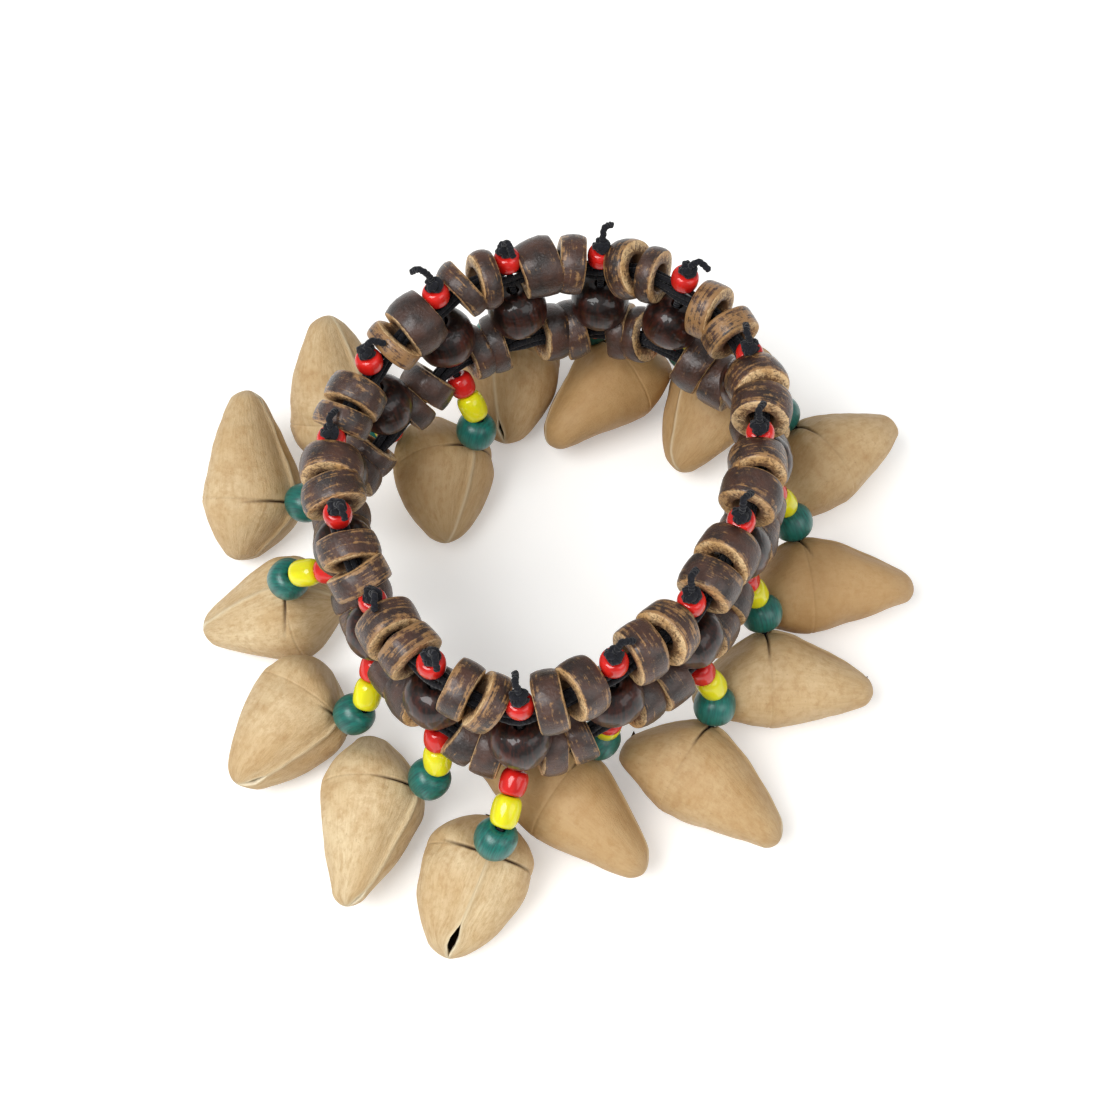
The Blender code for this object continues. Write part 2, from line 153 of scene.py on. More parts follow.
def dryNutshell():
    # Fruit stone dried in the sun: matt and straw-coloured, with ochre clouds, fine fibres along the lobes,
    # pores, a pale seam ridge and a crack from the cord hole whose groove is painted dark as shade.
    look = {"straw": "#DFCAA2", "tan": "#CDB083", "ochre": "#A9804D", "fibre": "#B08C5A", "seam": "#ECDDB9",
            "crackAndShade": "#3E2A1A", "pore": "#8A6A45", "tanAndShade": "#AE844F",
            "cloudSize": 11.0, "blotchSize": 4.5, "mottleSize": 1.3, "fibreWidth": 0.6, "poreSize": 0.3}
    material, tree, shader = newMaterial("dryNutshell", **{"Specular IOR Level": 0.36, "IOR": 1.48})
    grain = addNode(tree, "Attribute", attribute_name="grain").outputs["Vector"]
    marks = addNode(tree, "Attribute", attribute_name="marks").outputs["Vector"]
    masks = addNode(tree, "SeparateXYZ", {0: marks})
    cloud = addNode(tree, "TexNoise", {"Vector": grain, "Scale": 1 / look["cloudSize"], "Detail": 5.0,
                                       "Roughness": 0.62})
    cloudMask = addNode(tree, "MapRange", {0: cloud.outputs[0], 1: 0.34, 2: 0.66})
    color = addNode(tree, "Mix", {0: cloudMask.outputs[0], 6: hexColor(look["straw"]),
                                  7: hexColor(look["tan"])}, data_type="RGBA")
    # per-shell tan; for shell 15 this darker tan is painted shade
    tanAndShadeAmount = addNode(tree, "Math", {0: masks.outputs[2], 1: 0.75}, operation="MULTIPLY")
    color = addNode(tree, "Mix", {0: tanAndShadeAmount.outputs[0], 6: color.outputs[2],
                                  7: hexColor(look["tanAndShade"])}, data_type="RGBA")
    mottle = addNode(tree, "TexNoise", {"Vector": grain, "Scale": 1 / look["mottleSize"], "Detail": 5.0,
                                        "Roughness": 0.7})
    mottleMask = addNode(tree, "MapRange", {0: mottle.outputs[0], 1: 0.46, 2: 0.68, 3: 0.0, 4: 0.5})
    color = addNode(tree, "Mix", {0: mottleMask.outputs[0], 6: color.outputs[2],
                                  7: hexColor(look["ochre"])}, data_type="RGBA")
    blotch = addNode(tree, "TexNoise", {"Vector": grain, "Scale": 1 / look["blotchSize"], "Detail": 7.0,
                                        "Roughness": 0.72})
    blotchMask = addNode(tree, "MapRange", {0: blotch.outputs[0], 1: 0.5, 2: 0.76, 3: 0.0, 4: 0.6})
    color = addNode(tree, "Mix", {0: blotchMask.outputs[0], 6: color.outputs[2],
                                  7: hexColor(look["ochre"])}, data_type="RGBA")
    along = addNode(tree, "Mapping", {"Vector": grain,
                                      "Scale": (0.16, 1 / look["fibreWidth"], 1 / look["fibreWidth"])})
    fibre = addNode(tree, "TexNoise", {"Vector": along.outputs[0], "Scale": 1.0, "Detail": 6.0,
                                       "Roughness": 0.75})
    fibreMask = addNode(tree, "MapRange", {0: fibre.outputs[0], 1: 0.45, 2: 0.75, 3: 0.0, 4: 0.5})
    color = addNode(tree, "Mix", {0: fibreMask.outputs[0], 6: color.outputs[2],
                                  7: hexColor(look["fibre"])}, data_type="RGBA")
    pore = addNode(tree, "TexNoise", {"Vector": grain, "Scale": 1 / look["poreSize"], "Detail": 2.0})
    poreMask = addNode(tree, "MapRange", {0: pore.outputs[0], 1: 0.66, 2: 0.78, 3: 0.0, 4: 0.45})
    color = addNode(tree, "Mix", {0: poreMask.outputs[0], 6: color.outputs[2],
                                  7: hexColor(look["pore"])}, data_type="RGBA")
    color = addNode(tree, "Mix", {0: masks.outputs[0], 6: color.outputs[2],
                                  7: hexColor(look["seam"])}, data_type="RGBA")
    # painted shade: dark along the crack and suture grooves
    color = addNode(tree, "Mix", {0: masks.outputs[1], 6: color.outputs[2],
                                  7: hexColor(look["crackAndShade"])}, data_type="RGBA")
    rough = addNode(tree, "MapRange", {0: blotch.outputs[0], 1: 0.3, 2: 0.7, 3: 0.48, 4: 0.62})
    height = addNode(tree, "Math", {0: fibre.outputs[0], 1: mottle.outputs[0]}, operation="ADD")
    bump = addNode(tree, "Bump", {"Strength": 0.75, "Distance": 0.2 * mm, "Height": height.outputs[0]})
    tree.links.new(color.outputs[2], shader.inputs["Base Color"])
    tree.links.new(rough.outputs[0], shader.inputs["Roughness"])
    tree.links.new(bump.outputs[0], shader.inputs["Normal"])
    return material


def chalkyShell(name, main, patches):
    # Broken or inner face of the stone: chalky, patchy and quite matt, with no polish at all.
    look = {"edge": main, "inside": patches, "patchSize": 1.4}
    material, tree, shader = newMaterial(name, **{"Roughness": 0.8, "Specular IOR Level": 0.25})
    grain = addNode(tree, "Attribute", attribute_name="grain").outputs["Vector"]
    patch = addNode(tree, "TexNoise", {"Vector": grain, "Scale": 1 / look["patchSize"], "Detail": 3.0})
    mask = addNode(tree, "MapRange", {0: patch.outputs[0], 1: 0.45, 2: 0.75, 3: 0.0, 4: 0.6})
    color = addNode(tree, "Mix", {0: mask.outputs[0], 6: hexColor(look["edge"]),
                                  7: hexColor(look["inside"])}, data_type="RGBA")
    bump = addNode(tree, "Bump", {"Strength": 0.5, "Distance": 0.1 * mm, "Height": patch.outputs[0]})
    tree.links.new(color.outputs[2], shader.inputs["Base Color"])
    tree.links.new(bump.outputs[0], shader.inputs["Normal"])
    return material


def coconutShell():
    # Sawn and tumbled coconut shell: a dark polished skin with tan layers that run round it, and
    # tan fibrous cut faces with brown flecks.
    look = {"dark": "#20130E", "brown": "#4A2C1F", "layer": "#A67C4C",
            "cut": "#C59B65", "cutPale": "#E0C090", "fleck": "#50301C",
            "layerWidth": 0.5, "fleckSize": 0.6, "wearSize": 1.4}
    material, tree, shader = newMaterial("coconutShell", **{"IOR": 1.5, "Coat Weight": 0.3,
                                                            "Coat Roughness": 0.2})
    place = addNode(tree, "Attribute", attribute_name="grain").outputs["Vector"]
    marks = addNode(tree, "Attribute", attribute_name="marks").outputs["Vector"]
    masks = addNode(tree, "SeparateXYZ", {0: marks})
    layers = addNode(tree, "Mapping", {"Vector": place, "Scale": (0.11, 0.11, 1 / look["layerWidth"])})
    streak = addNode(tree, "TexNoise", {"Vector": layers.outputs[0], "Scale": 1.0, "Detail": 6.0,
                                        "Roughness": 0.68, "Distortion": 0.3})
    wear = addNode(tree, "TexNoise", {"Vector": place, "Scale": 1 / look["wearSize"], "Detail": 6.0,
                                      "Roughness": 0.75})
    shade = addNode(tree, "TexNoise", {"Vector": place, "Scale": 0.3, "Detail": 3.0})
    shadeMask = addNode(tree, "MapRange", {0: shade.outputs[0], 1: 0.35, 2: 0.65})
    skin = addNode(tree, "Mix", {0: shadeMask.outputs[0], 6: hexColor(look["dark"]),
                                 7: hexColor(look["brown"])}, data_type="RGBA")
    worn = addNode(tree, "Math", {0: streak.outputs[0], 1: masks.outputs[2]}, operation="ADD")
    patchy = addNode(tree, "Math", {0: wear.outputs[0], 1: 0.9, 2: -0.45}, operation="MULTIPLY_ADD")
    worn = addNode(tree, "Math", {0: worn.outputs[0], 1: patchy.outputs[0]}, operation="ADD")
    wornMask = addNode(tree, "MapRange", {0: worn.outputs[0], 1: 0.6, 2: 0.72, 3: 0.0, 4: 0.8})
    skin = addNode(tree, "Mix", {0: wornMask.outputs[0], 6: skin.outputs[2],
                                 7: hexColor(look["layer"])}, data_type="RGBA")
    fleck = addNode(tree, "TexNoise", {"Vector": place, "Scale": 1 / look["fleckSize"], "Detail": 4.0,
                                       "Roughness": 0.7, "Distortion": 0.8})
    paleMask = addNode(tree, "MapRange", {0: shade.outputs[0], 1: 0.4, 2: 0.6})
    face = addNode(tree, "Mix", {0: paleMask.outputs[0], 6: hexColor(look["cut"]),
                                 7: hexColor(look["cutPale"])}, data_type="RGBA")
    burnt = addNode(tree, "Math", {0: masks.outputs[1], 1: 0.3}, operation="MULTIPLY")
    burntSum = addNode(tree, "Math", {0: fleck.outputs[0], 1: burnt.outputs[0]}, operation="ADD")
    fleckMask = addNode(tree, "MapRange", {0: burntSum.outputs[0], 1: 0.52, 2: 0.7, 3: 0.0, 4: 0.85})
    face = addNode(tree, "Mix", {0: fleckMask.outputs[0], 6: face.outputs[2],
                                 7: hexColor(look["fleck"])}, data_type="RGBA")
    edge = addNode(tree, "Math", {0: fleck.outputs[0], 1: masks.outputs[0]}, operation="ADD")
    skinMask = addNode(tree, "MapRange", {0: edge.outputs[0], 1: 0.95, 2: 1.01})
    color = addNode(tree, "Mix", {0: skinMask.outputs[0], 6: face.outputs[2], 7: skin.outputs[2]},
                    data_type="RGBA")
    rough = addNode(tree, "MapRange", {0: skinMask.outputs[0], 1: 0.0, 2: 1.0, 3: 0.75, 4: 0.36})
    bump = addNode(tree, "Bump", {"Strength": 0.9, "Distance": 0.22 * mm, "Height": burntSum.outputs[0]})
    bump = addNode(tree, "Bump", {"Strength": 0.35, "Distance": 0.1 * mm, "Height": streak.outputs[0],
                                  "Normal": bump.outputs[0]})
    tree.links.new(color.outputs[2], shader.inputs["Base Color"])
    tree.links.new(rough.outputs[0], shader.inputs["Roughness"])
    tree.links.new(bump.outputs[0], shader.inputs["Normal"])
    return material


def lacqueredWood():
    # Turned softwood, stained nearly black and dipped in clear lacquer: red-brown where the stain is thin,
    # a little uneven, with sharp reflections. The same red-brown is also painted stronger towards the
    # bead's lower end as a painted glow.
    look = {"stain": "#150B09", "thinStainAndGlow": "#4C2014", "grainWidth": 0.5}
    material, tree, shader = newMaterial("lacqueredWood", **{"Roughness": 0.45, "Specular IOR Level": 0.2,
                                                             "Coat Weight": 0.55, "Coat Roughness": 0.07,
                                                             "Coat IOR": 1.5})
    place = addNode(tree, "Attribute", attribute_name="grain").outputs["Vector"]
    marks = addNode(tree, "Attribute", attribute_name="marks").outputs["Vector"]
    masks = addNode(tree, "SeparateXYZ", {0: marks})
    cloud = addNode(tree, "TexNoise", {"Vector": place, "Scale": 0.22, "Detail": 3.0, "Distortion": 0.8})
    along = addNode(tree, "Mapping", {"Vector": place, "Scale": (1 / look["grainWidth"], 1.2, 0.16)})
    grain = addNode(tree, "TexNoise", {"Vector": along.outputs[0], "Scale": 1.0, "Detail": 4.0})
    total = addNode(tree, "Math", {0: cloud.outputs[0], 1: grain.outputs[0]}, operation="ADD")
    # the marks add painted glow: more red-brown towards the bead's lower end
    total = addNode(tree, "Math", {0: total.outputs[0], 1: masks.outputs[0]}, operation="ADD")
    thinStainAndGlow = addNode(tree, "MapRange", {0: total.outputs[0], 1: 0.95, 2: 1.45})
    color = addNode(tree, "Mix", {0: thinStainAndGlow.outputs[0], 6: hexColor(look["stain"]),
                                  7: hexColor(look["thinStainAndGlow"])}, data_type="RGBA")
    bump = addNode(tree, "Bump", {"Strength": 0.35, "Distance": 0.1 * mm, "Height": grain.outputs[0]})
    coat = addNode(tree, "Bump", {"Strength": 0.6, "Distance": 0.8 * mm, "Height": cloud.outputs[0]})
    tree.links.new(color.outputs[2], shader.inputs["Base Color"])
    tree.links.new(bump.outputs[0], shader.inputs["Normal"])
    tree.links.new(coat.outputs[0], shader.inputs["Coat Normal"])
    return material


def seedBeadGlass(name, main, shade):
    # Opaque wound glass: one strong colour right through, fire-polished, with faint drawn streaks.
    material, tree, shader = newMaterial(name, **{"Roughness": 0.12, "IOR": 1.52, "Subsurface Weight": 0.12,
                                                  "Subsurface Scale": 0.6 * mm})
    place = addNode(tree, "Attribute", attribute_name="grain").outputs["Vector"]
    along = addNode(tree, "Mapping", {"Vector": place, "Scale": (0.5, 0.5, 0.12)})
    drawn = addNode(tree, "TexNoise", {"Vector": along.outputs[0], "Scale": 1.0, "Detail": 2.0})
    mask = addNode(tree, "MapRange", {0: drawn.outputs[0], 1: 0.35, 2: 0.7})
    color = addNode(tree, "Mix", {0: mask.outputs[0], 6: hexColor(main), 7: hexColor(shade)},
                    data_type="RGBA")
    bump = addNode(tree, "Bump", {"Strength": 0.15, "Distance": 0.1 * mm, "Height": drawn.outputs[0]})
    tree.links.new(color.outputs[2], shader.inputs["Base Color"])
    tree.links.new(bump.outputs[0], shader.inputs["Normal"])
    return material


def dyedWood():
    # Small turned bead, dyed teal and waxed: satin, with the grain showing as fine darker lines.
    look = {"dye": "#127065", "deep": "#0B4A45", "grainWidth": 0.35}
    material, tree, shader = newMaterial("dyedWood", **{"IOR": 1.48, "Coat Weight": 0.3,
                                                        "Coat Roughness": 0.3})
    place = addNode(tree, "Attribute", attribute_name="grain").outputs["Vector"]
    along = addNode(tree, "Mapping", {"Vector": place, "Scale": (1 / look["grainWidth"], 0.9, 0.2)})
    grain = addNode(tree, "TexNoise", {"Vector": along.outputs[0], "Scale": 1.0, "Detail": 4.0,
                                       "Roughness": 0.65})
    mask = addNode(tree, "MapRange", {0: grain.outputs[0], 1: 0.38, 2: 0.66})
    color = addNode(tree, "Mix", {0: mask.outputs[0], 6: hexColor(look["dye"]),
                                  7: hexColor(look["deep"])}, data_type="RGBA")
    rough = addNode(tree, "MapRange", {0: grain.outputs[0], 1: 0.3, 2: 0.7, 3: 0.3, 4: 0.45})
    bump = addNode(tree, "Bump", {"Strength": 0.3, "Distance": 0.08 * mm, "Height": grain.outputs[0]})
    tree.links.new(color.outputs[2], shader.inputs["Base Color"])
    tree.links.new(rough.outputs[0], shader.inputs["Roughness"])
    tree.links.new(bump.outputs[0], shader.inputs["Normal"])
    return material


def blackThread(name, main, light, plyWidth, ribPitch, roughness):
    # Black cotton or braided cover: blue-black, matt, with paler fibres standing off the plies.
    material, tree, shader = newMaterial(name, **{"Roughness": roughness, "Specular IOR Level": 0.25,
                                                  "Sheen Weight": 0.12, "Sheen Roughness": 0.5})
    place = addNode(tree, "Attribute", attribute_name="grain").outputs["Vector"]
    fine = addNode(tree, "TexNoise", {"Vector": place, "Scale": 1 / plyWidth, "Detail": 4.0,
                                      "Roughness": 0.7})
    mask = addNode(tree, "MapRange", {0: fine.outputs[0], 1: 0.45, 2: 0.75})
    color = addNode(tree, "Mix", {0: mask.outputs[0], 6: hexColor(main), 7: hexColor(light)},
                    data_type="RGBA")
    rib = addNode(tree, "TexWave", {"Vector": place, "Scale": 0.31 / ribPitch, "Distortion": 1.0,
                                    "Detail": 2.0}, bands_direction="Z")
    height = addNode(tree, "Math", {0: rib.outputs[1], 1: fine.outputs[0]}, operation="ADD")
    bump = addNode(tree, "Bump", {"Strength": 0.8, "Distance": 0.15 * mm, "Height": height.outputs[0]})
    tree.links.new(color.outputs[2], shader.inputs["Base Color"])
    tree.links.new(bump.outputs[0], shader.inputs["Normal"])
    return material


finishes = {
    "nutshell": dryNutshell(),
    "brokenEdge": chalkyShell("brokenShellEdge", "#EBDFC4", "#A88A62"),
    "inside": chalkyShell("shellInside", "#4A3423", "#2C1D13"),
    "coconut": coconutShell(),
    "lacquer": lacqueredWood(),
    "red": seedBeadGlass("redSeedBead", "#D8241F", "#B81713"),
    "yellow": seedBeadGlass("yellowSeedBead", "#E9E41B", "#D3CB12"),
    "green": dyedWood(),
    "cotton": blackThread("blackCottonCord", "#0C0D13", "#20222D", 0.22, 0.5, 0.8),
    "braid": blackThread("braidedElastic", "#0B0B10", "#1E1F28", 0.3, 0.7, 0.65),
}
print("materials made:", len(finishes))


def addPiece(name, parts, materials, nodes):
    # One mesh from parts of (points, faces, material index, grain in mm, marks).
    points = np.concatenate([p[0] for p in parts])
    faces = []
    indices = []
    start = 0
    for part in parts:
        faces += [[start + i for i in face] for face in part[1]]
        indices += [part[2]] * len(part[1])
        start += len(part[0])
    mesh = bpy.data.meshes.new(name)
    mesh.from_pydata(points.tolist(), [], faces)
    mesh.polygons.foreach_set("material_index", indices)
    mesh.polygons.foreach_set("use_smooth", [True] * len(faces))
    for label, column in (("grain", 3), ("marks", 4)):
        attribute = mesh.attributes.new(label, "FLOAT_VECTOR", "POINT")
        values = np.concatenate([p[column] for p in parts]).astype(np.float32)
        attribute.data.foreach_set("vector", values.ravel())
    for material in materials:
        mesh.materials.append(material)
    mesh.validate()
    piece = bpy.data.objects.new(name, mesh)
    bpy.context.scene.collection.objects.link(piece)
    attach(piece, "root")
    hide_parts(*nodes)
    return piece


def gridFaces(rows, columns, closedAround=True, closedAlong=False):
    faces = []
    for row in range(rows if closedAlong else rows - 1):
        below = (row + 1) % rows
        for column in range(columns if closedAround else columns - 1):
            after = (column + 1) % columns
            faces.append((row * columns + column, row * columns + after,
                          below * columns + after, below * columns + column))
    return faces


def shellMatrix(heading, rise, roll):
    turn = Matrix.Rotation(math.radians(heading), 3, "Z")
    tilt = Matrix.Rotation(math.radians(-rise), 3, "Y")
    spin = Matrix.Rotation(math.radians(roll), 3, "X")
    return turn @ tilt @ spin


def shellSection(share, tip=shell["tipRadius"], taper=shell["taper"]):
    # Half width, top and bottom of the shell at a share of a lobe's length.
    reach = abs(share)
    full = (1.0 - reach ** taper[0]) ** taper[1]
    width = tip + (shell["halfThickness"] - tip) * full
    top = -(shell["tipDrop"] - tip) * reach ** shell["topFall"]
    rising = shell["depth"] - shell["tipDrop"] - tip
    return width, top, -shell["depth"] + rising * reach ** shell["baseFall"]


def sectionPoint(section, angle):
    # Sideways and upward place on the rounded section at an angle from the seam.
    width, top, bottom = section
    side = math.sin(angle)
    height = math.cos(angle)
    power = shell["roundness"]
    fullness = (abs(side) ** power + abs(height) ** power) ** (-1 / power)
    return width * side * fullness, 0.5 * (top + bottom) + 0.5 * (top - bottom) * height * fullness


def solidPoints(longLobe, shortLobe):
    # The corners of the solid shell, which say how high it stands.
    lift = 0.4 * shell["crease"]
    points = []
    for share in shell["solidShares"]:
        lobe = longLobe if share > 0 else shortLobe
        width, top, bottom = shellSection(share)
        if share == 0.0:
            width -= shell["crease"]
            top -= lift
        for degrees in shell["solidColumns"]:
            y, z = sectionPoint((width, top, bottom), math.radians(degrees))
            if degrees in (shell["solidColumns"][0], shell["solidColumns"][-1]):
                z += shell["ridge"] * (1.0 - abs(share) ** 4)
            points.append(Vector((share * lobe, y, z + lift)))
    return points


def layOutStrand(row):
    # World places of one strand, worked up from the shell that stands on the floor.
    topX, topY, lowX, lowY, holeX, holeY, heading, rise, roll, longLobe, shortLobe = row
    rotation = shellMatrix(heading, rise, roll)
    corners = [rotation @ p for p in solidPoints(longLobe * mm, shortLobe * mm)]
    hole = Vector((holeX * mm, holeY * mm, -min(p.z for p in corners)))
    outward = rotation @ Vector((0.0, 0.0, 1.0))
    beadStack = bead["redLength"] + bead["yellowLength"] + bead["greenLength"]
    stack = elastic["radius"] + layout["gap"] + beadStack
    shoulder = shell["ridge"] + 0.4 * shell["crease"]
    stand = shoulder
    for _ in range(8):
        foot = hole + outward * stand
        run = Vector((lowX * mm - foot.x, lowY * mm - foot.y, 0.0))
        run.z = math.sqrt(max(stack ** 2 - run.length ** 2, (layout["leastRise"] * stack) ** 2))
        slope = run.normalized()
        lean = math.acos(max(-1.0, min(1.0, slope.dot(outward))))
        tilted = bead["greenRadius"] * math.sin(lean)
        stand = shoulder + layout["gap"] + max(0.0, tilted - layout["beadShoulder"] * bead["greenLength"]
                                               * math.cos(lean))
    foot = hole + outward * stand
    lower = foot + slope * stack
    rising = Vector((topX * mm - lower.x, topY * mm - lower.y, 0.0))
    rising.z = math.sqrt(layout["loopDistance"] ** 2 - rising.length ** 2)
    inside = hole - outward * (shell["wall"] + 2 * layout["gap"])
    return {"rotation": rotation, "hole": hole, "outward": outward, "foot": foot, "lower": lower,
            "upper": lower + rising, "inside": inside, "long": longLobe * mm, "short": shortLobe * mm,
            "corners": corners}


strands = [layOutStrand(row) for row in strandRows]
spots = [corner + strand["hole"] for strand in strands for corner in strand["corners"]]
lowEnds = [min(p[axis] for p in spots) for axis in (0, 1)]
highEnds = [max(p[axis] for p in spots) for axis in (0, 1)]
middle = Vector((0.5 * (lowEnds[0] + highEnds[0]), 0.5 * (lowEnds[1] + highEnds[1]), 0.0))
for strand in strands:
    for key in ("hole", "foot", "lower", "upper", "inside"):
        strand[key] = strand[key] - middle
worst = 0.0
for number, strand in enumerate(strands, 1):
    low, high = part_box(f"nutshell_{number:02d}")
    mine = [min(c[axis] for c in strand["corners"]) + strand["hole"][axis] for axis in range(3)]
    worst = max(worst, *[abs(mine[axis] - low[axis]) for axis in range(3)])
print("strands laid out, furthest from the solids by mm:", round(worst / mm, 2))


def latticeNoise(points, size, seed):
    # Smooth lumps about size across, from a few crossed waves with seeded phases.
    rng = random.Random(seed)
    total = np.zeros(len(points))
    for _ in range(7):
        direction = Vector([rng.gauss(0, 1) for _ in range(3)]).normalized()
        wave = points @ np.array(direction) * (2 * math.pi / (size * rng.uniform(0.7, 1.6)))
        total += np.sin(wave + rng.uniform(0, 2 * math.pi))
    return total / 7 ** 0.5


# how far each shell has gone from straw to tan, as in the photograph; shell 15's full tone is painted shade
# from the band above it
shellTones = (0.7, 0.6, 0.3, 0.3, 0.05, 0.2, 0.0, 0.15, 0.85, 0.65, 0.4, 1.0, 0.5, 0.8, 1.0)
# powers of the narrowing for shells that are drawn out or full at the tips
shellTapers = {4: (2.0, 1.0), 5: (1.6, 1.0), 7: (1.9, 1.3),
               10: (2.8, 0.9), 11: (2.9, 0.85), 12: (2.9, 0.85)}
usualTaper = (2.4, 1.0)
# how far along its long lobe each shell's seam has split, and how wide in mm; a share of 1 is a closed seam
slits = ((0.82, 0.9), (1.0, 0.0), (1.0, 0.0), (0.84, 0.8), (0.9, 0.6), (0.8, 1.2), (0.88, 0.8), (0.68, 1.4),
         (1.0, 0.0), (0.86, 0.9), (1.0, 0.0), (1.0, 0.0), (1.0, 0.0), (1.0, 0.0), (1.0, 0.0))


def bell(distance, width):
    return math.exp(-(distance / width) ** 2)


def surfaceSteps():
    # Shares of a lobe and angles from the seam, closer together at the crease, the tips and the seam.
    steps = np.linspace(-1.0, 1.0, shell["stations"] + 1)
    turns = np.linspace(0.0, 1.0, shell["columns"] + 1)
    shares = steps - 0.8 * np.sin(2 * math.pi * steps) / (2 * math.pi)
    angles = 2 * math.pi * turns - 0.72 * np.sin(2 * math.pi * turns)
    return shares, turns, angles


def shellSurface(number, strand, rng):
    # Points, grain and marks of a shell's outer face; marks are seam, painted shade in the crack and suture
    # grooves, and tan, which is partly painted shade.
    shares, turns, angles = surfaceSteps()
    points = np.zeros((len(shares), len(angles), 3))
    grain = np.zeros_like(points)
    marks = np.zeros_like(points)
    lift = 0.4 * shell["crease"]
    weave = rng.uniform(-1.0, 1.0) * shell["weave"]
    taper = shellTapers.get(number, usualTaper)
    crackReach = (rng.uniform(0.9, 1.25), rng.uniform(0.6, 1.1))
    crackLean = (rng.uniform(-1.4, 1.4) * mm, rng.uniform(-1.4, 1.4) * mm)
    for row, share in enumerate(shares):
        x = share * (strand["long"] if share > 0 else strand["short"])
        section = shellSection(max(-1.0, min(1.0, share)), shell["fineTip"], taper)
        heart = 0.5 * (section[1] + section[2])
        cap = max(0.0, (abs(share) - 1.0 + shell["tipCap"]) / shell["tipCap"])
        rounding = math.sqrt(max(0.0, 1.0 - cap ** 2))
        ridge = shell["ridge"] * (1.0 - abs(share) ** 4)
        suture = bell(x, shell["sutureWidth"])
        for column, angle in enumerate(angles):
            fromSeam = min(angle, 2 * math.pi - angle)
            above = math.cos(angle) > 0
            y, z = sectionPoint(section, angle)
            z += ridge * bell(y, shell["ridgeWidth"]) * above
            y *= rounding
            z = heart + (z - heart) * rounding
            valley = bell(x, shell["creaseWidth"]) * max(0.0, math.cos(0.75 * fromSeam))
            z -= 0.55 * shell["crease"] * valley
            y *= 1.0 - 0.09 * valley
            side = 0 if angle < math.pi else 1
            reach = fromSeam / crackReach[side]
            crackAndShade = bell(x - crackLean[side] * reach ** 2, shell["crackWidth"]) * max(0.0, 1.0 - reach ** 3)
            inward = np.array([0.0, y, z - heart])
            inward /= max(np.linalg.norm(inward), 1e-9)
            shrink = shell["crackDepth"] * crackAndShade + shell["sutureDepth"] * suture
            points[row, column] = (x, y - inward[1] * shrink + weave * share * rounding,
                                   z + lift - inward[2] * shrink)
            seam = 0.7 * bell(y, shell["seamWidth"]) * above * (0.45 + 0.55 * abs(share))
            # the crack and the suture groove get painted shade
            faint = 0.22 * suture * max(0.0, 1.0 - 0.45 * reach)
            marks[row, column] = (seam, min(1.0, 0.95 * crackAndShade + faint), shellTones[number - 1])
            grain[row, column] = (x, turns[column] * shell["girth"], 0.0)
    return points, grain, marks


def addLumps(points, number):
    # Every shell is a little uneven; both ends close to a point.
    flat = points.reshape(-1, 3)
    lumps = latticeNoise(flat, shell["lumpSize"], number) * shell["lump"]
    lumps += latticeNoise(flat, shell["smallLumpSize"], 50 + number) * shell["smallLump"]
    hearts = np.stack([flat[:, 0], 0 * flat[:, 1], np.full(len(flat), -0.5 * shell["depth"])], 1)
    away = flat - hearts
    away /= np.maximum(np.linalg.norm(away, axis=1), 1e-9)[:, None]
    lumpy = (flat + away * lumps[:, None]).reshape(points.shape)
    lumpy[0] = lumpy[0].mean(0)
    lumpy[-1] = lumpy[-1].mean(0)
    return lumpy


def openSeam(points, number, rng):
    # The seam gapes towards the tip of the long lobe; elsewhere its two edges are one.
    shares, _, angles = surfaceSteps()
    split, slitWidth = slits[number - 1]
    for row, share in enumerate(shares):
        if share <= split:
            points[row, -1] = points[row, 0]
            continue
        along = min(1.0, (share - split) / (1.0 - split))
        width = slitWidth * mm * rng.uniform(0.92, 1.08) * math.sin(math.pi * along ** 1.3) ** 0.8
        for column, angle in enumerate(angles):
            push = 0.5 * width * bell(min(angle, 2 * math.pi - angle), shell["gapeSpread"])
            points[row, column, 1] += push if angle < math.pi else -push
            points[row, column, 2] -= 0.15 * push


def shellFaces(points, number):
    # Faces round the cord hole, whose edge is drawn out to a circle; also the points in use.
    rows, columns = points.shape[:2]
    shares = surfaceSteps()[0]
    index = np.arange(rows * columns).reshape(rows, columns)
    joined = index.copy()
    closed = shares <= slits[number - 1][0]
    joined[closed, -1] = joined[closed, 0]
    joined[0, :] = index[0, 0]
    joined[-1, :] = index[-1, 0]
    flat = points.reshape(-1, 3)
    across = np.hypot(flat[:, 0], flat[:, 1])
    nearHole = (across < shell["holeRadius"]) & (flat[:, 2] > -0.3 * shell["depth"])
    faces = []
    holeEdge = set()
    for row in range(rows - 1):
        for column in range(columns - 1):
            face = [joined[row, column], joined[row + 1, column],
                    joined[row + 1, column + 1], joined[row, column + 1]]
            face = [v for i, v in enumerate(face) if v != face[i - 1]]
            if len(face) < 3:
                continue
            if any(nearHole[v] for v in face):
                holeEdge.update(face)
                continue
            faces.append(face)
    used = sorted({v for face in faces for v in face})
    for v in holeEdge & set(used):
        flat[v, :2] *= shell["holeRadius"] / max(across[v], 1e-6)
    order = {v: i for i, v in enumerate(used)}
    return [[order[v] for v in face] for face in faces], used


